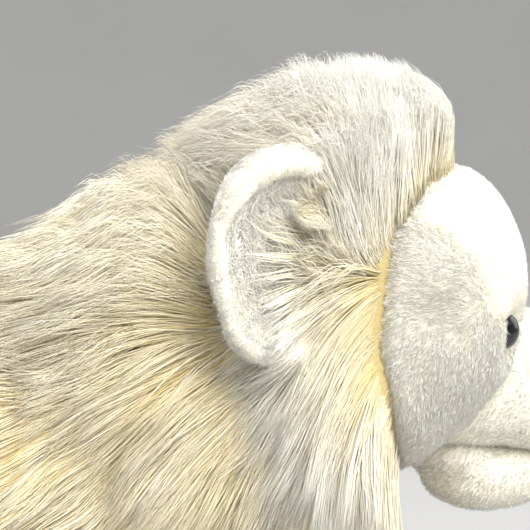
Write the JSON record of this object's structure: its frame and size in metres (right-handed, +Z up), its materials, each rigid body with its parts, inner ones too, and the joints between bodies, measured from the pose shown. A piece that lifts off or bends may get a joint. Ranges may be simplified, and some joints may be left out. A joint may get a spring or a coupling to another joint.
{
  "type": "plush dog",
  "caption": "Standing long-coated plush dog with a deep mane, short-pile face, cupped ears, safety eyes and nose, bending neck, legs, ears and tail.",
  "frame": {"origin": "on the floor, below the middle of the toy's bounding box", "axes": "+Z up; the dog faces -Y, its right side is -X; Y is its length from nose to tail"},
  "size_m": [0.128, 0.3984, 0.2836],
  "materials": {
    "long_pile_fabric": "matte",
    "short_pile_fabric": "matte",
    "fibre_stuffing": "matte",
    "black_moulded_plastic": "gloss",
    "white_moulded_plastic": "satin",
    "label_ribbon": "satin"
  },
  "bodies": {
    "torso": {"body_skin": "long_pile_fabric", "body_stuffing": "fibre_stuffing", "care_label": "label_ribbon"},
    "neck": {"neck_skin": "long_pile_fabric", "neck_stuffing": "fibre_stuffing"},
    "head": {"back_of_head_skin": "long_pile_fabric", "forehead_panel": "short_pile_fabric", "cheek_panel_right": "short_pile_fabric", "cheek_panel_left": "short_pile_fabric", "muzzle_skin": "short_pile_fabric", "muzzle_stuffing": "fibre_stuffing", "lower_jaw": "short_pile_fabric", "head_stuffing": "fibre_stuffing", "eye_right": "black_moulded_plastic", "eye_left": "black_moulded_plastic", "eye_washer_right": "white_moulded_plastic", "eye_washer_left": "white_moulded_plastic", "nose": "black_moulded_plastic", "nose_washer": "white_moulded_plastic"},
    "ear_right": {"ear_back_right": "long_pile_fabric", "ear_lining_right": "short_pile_fabric"},
    "ear_left": {"ear_back_left": "long_pile_fabric", "ear_lining_left": "short_pile_fabric"},
    "tail": {"tail_skin": "long_pile_fabric", "tail_stuffing": "fibre_stuffing"},
    "front_leg_right": {"front_leg_skin_right": "long_pile_fabric", "front_leg_stuffing_right": "fibre_stuffing", "front_leg_paw_sole_right": "short_pile_fabric"},
    "front_leg_left": {"front_leg_skin_left": "long_pile_fabric", "front_leg_stuffing_left": "fibre_stuffing", "front_leg_paw_sole_left": "short_pile_fabric"},
    "hind_leg_right": {"hind_leg_skin_right": "long_pile_fabric", "hind_leg_stuffing_right": "fibre_stuffing", "hind_leg_paw_sole_right": "short_pile_fabric"},
    "hind_leg_left": {"hind_leg_skin_left": "long_pile_fabric", "hind_leg_stuffing_left": "fibre_stuffing", "hind_leg_paw_sole_left": "short_pile_fabric"}
  },
  "joints": [
    {"name": "neck_turn", "type": "hinge", "parent": "torso", "child": "neck", "pos_m": [0, -0.05, 0.198], "axis": [0, 0, 1], "range_deg": [-20, 20], "stiffness_Nm_per_rad": 1.2},
    {"name": "head_nod", "type": "hinge", "parent": "neck", "child": "head", "pos_m": [0, -0.05, 0.198], "axis": [1, 0, 0], "range_deg": [-12, 12], "stiffness_Nm_per_rad": 4},
    {"name": "ear_flop_right", "type": "hinge", "parent": "head", "child": "ear_right", "pos_m": [-0.035, -0.093, 0.241], "axis": [0.1688, 0.1881, 0.9675], "range_deg": [-3, 22], "stiffness_Nm_per_rad": 0.08},
    {"name": "ear_flop_left", "type": "hinge", "parent": "head", "child": "ear_left", "pos_m": [0.035, -0.093, 0.241], "axis": [0.1688, -0.1881, -0.9675], "range_deg": [-3, 22], "stiffness_Nm_per_rad": 0.08},
    {"name": "tail_wag", "type": "hinge", "parent": "torso", "child": "tail", "pos_m": [0, 0.158, 0.2], "axis": [0, 0, 1], "range_deg": [-25, 25], "stiffness_Nm_per_rad": 0.4},
    {"name": "front_leg_swing_right", "type": "hinge", "parent": "torso", "child": "front_leg_right", "pos_m": [-0.037, -0.06, 0.093], "axis": [1, 0, 0], "range_deg": [-12, 12], "stiffness_Nm_per_rad": 4},
    {"name": "front_leg_swing_left", "type": "hinge", "parent": "torso", "child": "front_leg_left", "pos_m": [0.037, -0.06, 0.093], "axis": [1, 0, 0], "range_deg": [-12, 12], "stiffness_Nm_per_rad": 4},
    {"name": "hind_leg_swing_right", "type": "hinge", "parent": "torso", "child": "hind_leg_right", "pos_m": [-0.038, 0.116, 0.093], "axis": [1, 0, 0], "range_deg": [-12, 12], "stiffness_Nm_per_rad": 4},
    {"name": "hind_leg_swing_left", "type": "hinge", "parent": "torso", "child": "hind_leg_left", "pos_m": [0.038, 0.116, 0.093], "axis": [1, 0, 0], "range_deg": [-12, 12], "stiffness_Nm_per_rad": 4}
  ]
}
